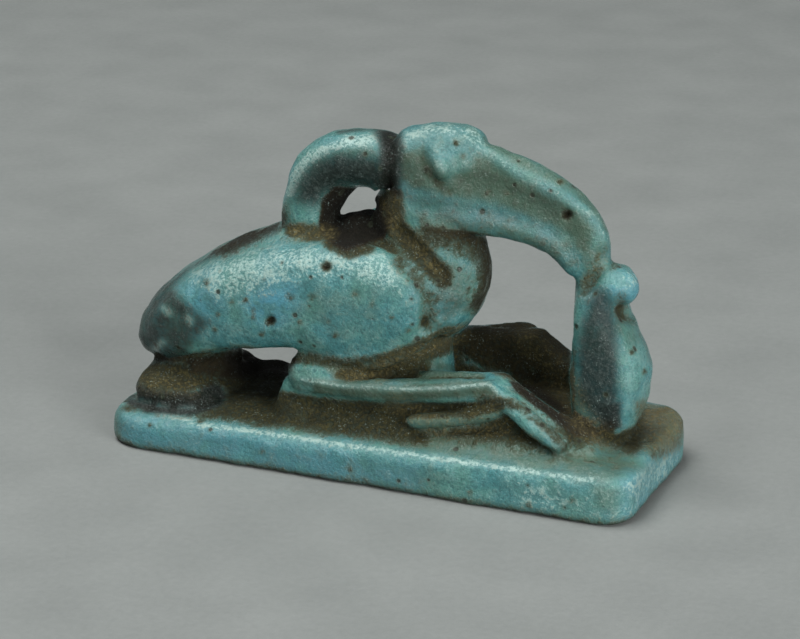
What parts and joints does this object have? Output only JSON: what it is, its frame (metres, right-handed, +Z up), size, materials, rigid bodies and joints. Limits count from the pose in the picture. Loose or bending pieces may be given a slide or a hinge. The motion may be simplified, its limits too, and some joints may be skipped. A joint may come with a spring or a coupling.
{
  "type": "thoth ibis amulet",
  "caption": "Moulded glazed amulet: a crouching ibis on a rounded plinth, its curved beak resting on a small squatting figure, with a hanging loop behind its head.",
  "frame": {"origin": "middle of the plinth's underside, on the surface it stands on", "axes": "+X the way the bird faces, along the plinth, +Y to the bird's left, +Z up"},
  "size_m": [0.0398, 0.016, 0.0244],
  "materials": {
    "turquoise_glaze": "glossy, worn and stained"
  },
  "bodies": {
    "root": {"ibis_amulet": "turquoise_glaze"}
  },
  "joints": []
}
